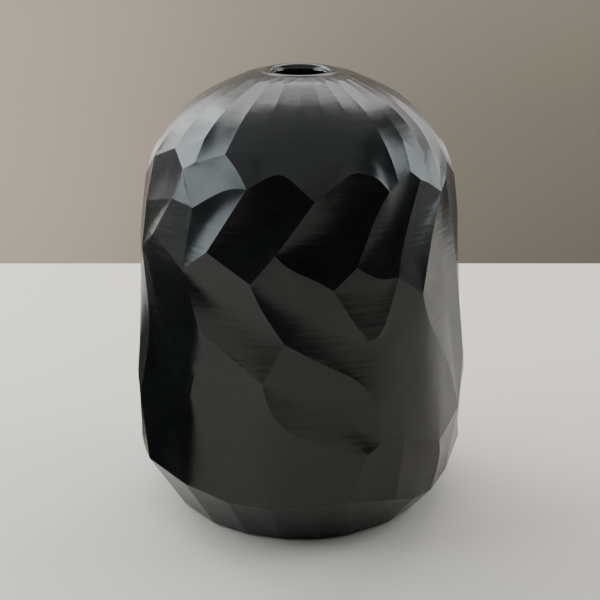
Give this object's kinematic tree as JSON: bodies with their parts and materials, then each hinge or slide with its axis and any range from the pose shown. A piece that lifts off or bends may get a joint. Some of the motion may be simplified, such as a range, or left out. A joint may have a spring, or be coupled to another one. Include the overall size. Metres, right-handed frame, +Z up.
{
  "type": "vase",
  "caption": "Closed bottle-shaped black clay vase with a domed, hand-faceted outside, bevelled foot and small round lipped mouth.",
  "frame": {"origin": "centre of the base, on the plane it stands on and on the axis of the mouth", "axes": "+Z up through the mouth, -Y towards the side with the broad heart-shaped facets, +X to its right"},
  "size_m": [0.2232, 0.219, 0.29],
  "materials": {
    "burnished_black_clay": "hand-faceted and burnished, satin sheen",
    "turned_black_clay": "turned smooth, satin sheen",
    "unburnished_black_clay": "matt, unburnished",
    "glossy_black_lining": "glossy sealing coat"
  },
  "bodies": {
    "root": {"faceted_body": "burnished_black_clay", "lip_ring": "turned_black_clay", "foot_disc": "unburnished_black_clay", "inner_lining": "glossy_black_lining"}
  },
  "joints": []
}
